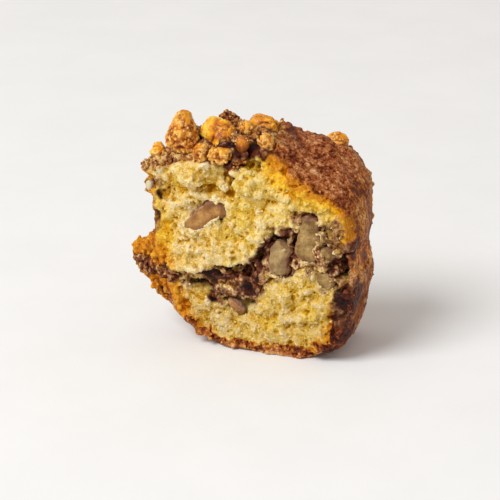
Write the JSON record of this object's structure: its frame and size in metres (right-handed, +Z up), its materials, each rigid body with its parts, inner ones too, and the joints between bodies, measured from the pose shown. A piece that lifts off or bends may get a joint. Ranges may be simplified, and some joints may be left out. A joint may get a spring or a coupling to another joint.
{
  "type": "ring cake slice",
  "caption": "Slice of a cinnamon walnut ring cake with a filling layer, dark crust and a crumbly nut topping.",
  "frame": {"origin": "the middle of the flat of the bottom crust", "axes": "+Z up; the front cut face looks along -Y; +X points from the ring's hole out to the crust"},
  "size_m": [0.0907, 0.0386, 0.0891],
  "materials": {
    "crumb": "matt open crumb with a brown crust",
    "filling": "moist",
    "toasted_nut": "satin",
    "cut_nut": "satin"
  },
  "bodies": {
    "root": {"cake_upper": "crumb", "cake_lower": "crumb", "cinnamon_filling": "filling", "walnut_top_tall": "toasted_nut", "walnut_top_crown": "toasted_nut", "walnut_top_back": "toasted_nut", "walnut_top_golden": "toasted_nut", "walnut_top_front": "toasted_nut", "walnut_top_drop": "toasted_nut", "walnut_top_middle": "toasted_nut", "walnut_top_small": "toasted_nut", "walnut_top_rear": "toasted_nut", "walnut_top_edge": "toasted_nut", "walnut_top_far": "toasted_nut", "walnut_cut_left": "cut_nut", "walnut_cut_tall": "cut_nut", "walnut_cut_middle": "cut_nut", "walnut_cut_small": "cut_nut", "walnut_cut_right": "cut_nut", "walnut_cut_sliver": "cut_nut", "walnut_cut_pale": "cut_nut"}
  },
  "joints": []
}
